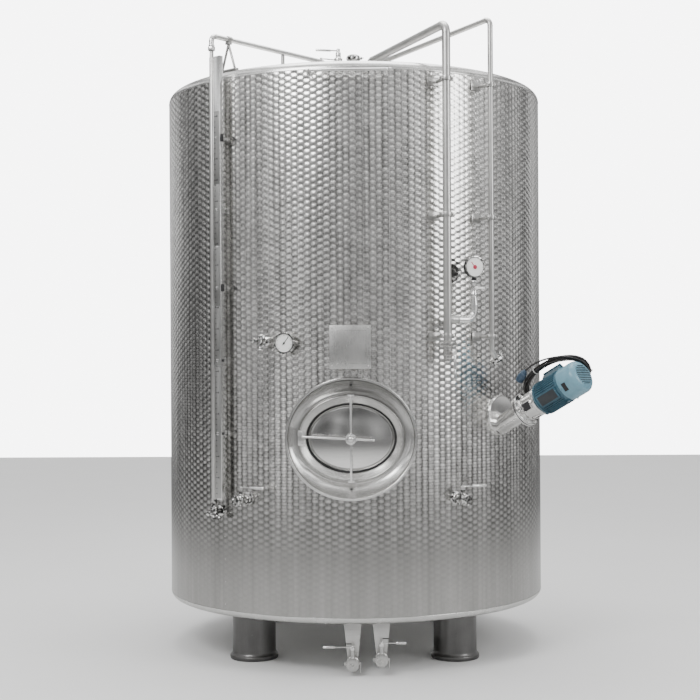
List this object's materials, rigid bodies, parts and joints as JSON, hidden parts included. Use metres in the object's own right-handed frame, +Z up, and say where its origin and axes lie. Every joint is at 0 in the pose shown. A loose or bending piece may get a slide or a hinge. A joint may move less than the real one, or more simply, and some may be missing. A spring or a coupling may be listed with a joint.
{
  "type": "vertical storage tank",
  "caption": "Upright insulated storage tank on four legs with an oval manway, level gauge, roof pipework, valves and a side-entry mixer motor.",
  "frame": {"origin": "on the floor under the tank axis", "axes": "+Z up along the tank axis, -Y towards the manway front, +X to the right seen from the front"},
  "size_m": [2.0791, 2.0132, 3.121],
  "materials": {
    "marbled_steel": "stainless cladding with an overlapping swirl polish",
    "polished_steel": "mirror-polished stainless steel",
    "satin_steel": "satin stainless steel",
    "sight_glass": "clear sight tube",
    "dial_case": "black case with a white dial",
    "motor_blue": "blue-green machine enamel",
    "cowl_blue": "lighter blue enamel",
    "black_cable": "black rubber sheath",
    "plug_blue": "dark blue moulded plastic"
  },
  "bodies": {
    "tank": {"cable_coil": "black_cable", "cable_lead": "black_cable", "cable_plug": "plug_blue", "data_plate": "satin_steel", "gauge_branch": "polished_steel", "gauge_channel": "satin_steel", "gauge_cock": "polished_steel", "gauge_tube": "sight_glass", "ladder_rail": "polished_steel", "left_drain": "polished_steel", "left_outlet_valve": "polished_steel", "leg_back_left": "satin_steel", "leg_back_right": "satin_steel", "leg_front_left": "satin_steel", "leg_front_right": "satin_steel", "manway_collar": "polished_steel", "manway_neck": "polished_steel", "manway_yoke": "satin_steel", "mixer_lantern": "polished_steel", "motor": "motor_blue", "motor_cowl": "cowl_blue", "overflow_pipe": "polished_steel", "pipe_post": "polished_steel", "pipe_trestle": "satin_steel", "pressure_gauge": "dial_case", "relief_valve": "polished_steel", "right_drain": "polished_steel", "right_outlet_valve": "polished_steel", "riser_pipe": "polished_steel", "riser_valve": "polished_steel", "roof": "satin_steel", "roof_neck": "polished_steel", "sampling_cock": "polished_steel", "tank_floor": "satin_steel", "thermometer": "polished_steel", "vent_pipe": "polished_steel", "vent_pipe_cap": "polished_steel", "wall_back_left": "marbled_steel", "wall_back_right": "marbled_steel", "wall_front_left": "marbled_steel", "wall_front_lower": "marbled_steel", "wall_front_right": "marbled_steel", "wall_front_upper": "marbled_steel", "wall_left": "marbled_steel", "wall_left_back": "marbled_steel", "wall_left_front": "marbled_steel", "wall_right": "marbled_steel", "wall_right_back": "marbled_steel", "wall_right_front": "marbled_steel"},
    "door": {"manway_door": "polished_steel"},
    "clamp_screw": {"manway_handle": "polished_steel"},
    "left_outlet_handle": {"left_outlet_lever": "polished_steel"},
    "right_outlet_handle": {"right_outlet_lever": "polished_steel"},
    "riser_handle": {"riser_valve_lever": "polished_steel"},
    "gauge_cock_handle": {"gauge_cock_lever": "satin_steel"},
    "left_drain_handle": {"left_drain_lever": "polished_steel"},
    "right_drain_handle": {"right_drain_lever": "polished_steel"}
  },
  "joints": [
    {"name": "door_hinge", "type": "hinge", "parent": "tank", "child": "door", "pos_m": [-0.235, -0.85, 1.1], "axis": [0, 0, 1], "range_deg": [0, 100]},
    {"name": "clamp_screw_turn", "type": "hinge", "parent": "tank", "child": "clamp_screw", "pos_m": [0, -0.9626, 1.1], "axis": [0, -1, 0], "range_deg": [0, 900]},
    {"name": "left_outlet_turn", "type": "hinge", "parent": "tank", "child": "left_outlet_handle", "pos_m": [-0.51415, -0.89053, 0.8603], "axis": [0, 0, 1], "range_deg": [-90, 0]},
    {"name": "right_outlet_turn", "type": "hinge", "parent": "tank", "child": "right_outlet_handle", "pos_m": [0.51415, -0.89053, 0.8603], "axis": [0, 0, 1], "range_deg": [-90, 0]},
    {"name": "riser_valve_turn", "type": "hinge", "parent": "tank", "child": "riser_handle", "pos_m": [0.47036, -0.98481, 1.491], "axis": [0.421, -0.907, 0], "range_deg": [0, 90]},
    {"name": "gauge_cock_turn", "type": "hinge", "parent": "tank", "child": "gauge_cock_handle", "pos_m": [0.5796, -0.92087, 1.79], "axis": [0.421, -0.907, 0], "range_deg": [-90, 0]},
    {"name": "left_drain_turn", "type": "hinge", "parent": "tank", "child": "left_drain_handle", "pos_m": [0, -0.889, 0.1173], "axis": [0, 0, 1], "range_deg": [0, 90]},
    {"name": "right_drain_turn", "type": "hinge", "parent": "tank", "child": "right_drain_handle", "pos_m": [0.134, -0.889, 0.1363], "axis": [0, 0, 1], "range_deg": [-90, 0]}
  ]
}
